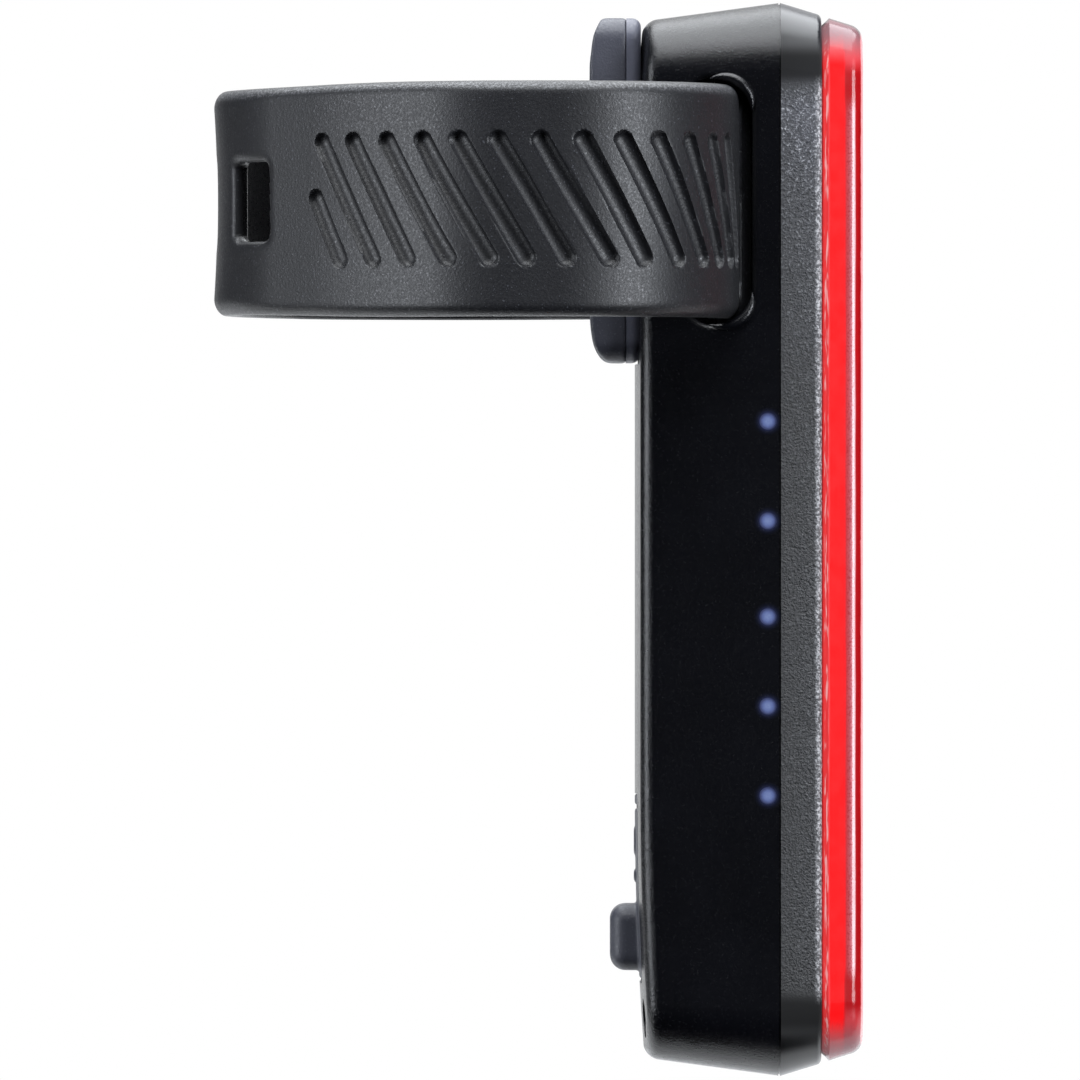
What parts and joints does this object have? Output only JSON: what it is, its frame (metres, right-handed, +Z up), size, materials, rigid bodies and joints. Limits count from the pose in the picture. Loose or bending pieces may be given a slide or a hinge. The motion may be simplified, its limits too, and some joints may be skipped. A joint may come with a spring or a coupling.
{
  "type": "bicycle rear light",
  "caption": "Slim upright bicycle rear light with a red lens, side charge indicators, a covered charging port and a rubber strap that wraps the seatpost.",
  "frame": {"origin": "on the strapped seatpost's axis, at the strap's middle height", "axes": "+X from the post towards the lens, +Z up along the post, so +Y is the rider's right when the lens faces back"},
  "size_m": [0.0545, 0.0447, 0.0901],
  "materials": {
    "casing_black": "satin moulded black plastic",
    "bezel_grain": "fine-grained dark grey plastic",
    "lens_red": "glossy translucent red polycarbonate",
    "seal_rubber": "soft black silicone",
    "diffuser_frost": "frosted sheet",
    "reflector_white": "white reflective plastic",
    "board_alu": "white-masked aluminium board",
    "emitter_yellow": "encapsulated emitter",
    "board_green": "green solder mask",
    "chip_black": "moulded chip package",
    "contact_gold": "plated contact pin",
    "led_blue": "blue indicator emitter",
    "pipe_blue": "blue-lit clear pipe, soft edge",
    "socket_steel": "plated shell",
    "plunger_white": "white switch stem",
    "strap_rubber": "satin black silicone",
    "cell_foil": "laminated foil pouch",
    "foam_grey": "closed-cell foam",
    "wire_red": "silicone wire insulation",
    "screw_steel": "plated steel",
    "plate_black": "satin black plastic"
  },
  "bodies": {
    "light_body": {"rear_casing": "casing_black", "front_bezel": "bezel_grain", "lens": "lens_red", "lens_gasket": "seal_rubber", "casing_seal": "seal_rubber", "light_diffuser": "diffuser_frost", "reflector_frame": "reflector_white", "led_board": "board_alu", "led_emitters": "emitter_yellow", "main_pcb": "board_green", "board_components": "chip_black", "board_pins": "contact_gold", "indicator_leds": "led_blue", "indicator_light_pipes": "pipe_blue", "usb_c_socket": "socket_steel", "tact_switch": "chip_black", "battery_cell": "cell_foil", "battery_foam_pad": "foam_grey", "battery_leads": "wire_red", "casing_screws": "screw_steel", "saddle_screws": "screw_steel", "saddle_plate": "plate_black", "saddle_pad": "strap_rubber", "strap_band": "strap_rubber", "strap_anchor_pin": "screw_steel", "port_cover_root": "strap_rubber"},
    "strap_tail": {"strap_tail": "strap_rubber"},
    "port_cover": {"port_cover": "strap_rubber"},
    "power_button": {"power_button": "strap_rubber", "switch_plunger": "plunger_white"}
  },
  "joints": [
    {"name": "strap_fold", "type": "hinge", "parent": "light_body", "child": "strap_tail", "pos_m": [-0.00565, 0.01604, 0], "axis": [0, 0, 1], "range_deg": [0, 100]},
    {"name": "port_cover_hinge", "type": "hinge", "parent": "light_body", "child": "port_cover", "pos_m": [0.0182, 0, -0.0505], "axis": [0, 1, 0], "range_deg": [0, 95]},
    {"name": "button_press", "type": "slide", "parent": "light_body", "child": "power_button", "axis": [0, -1, 0], "range_m": [0, 0.0004], "stiffness_N_per_m": 4000}
  ]
}
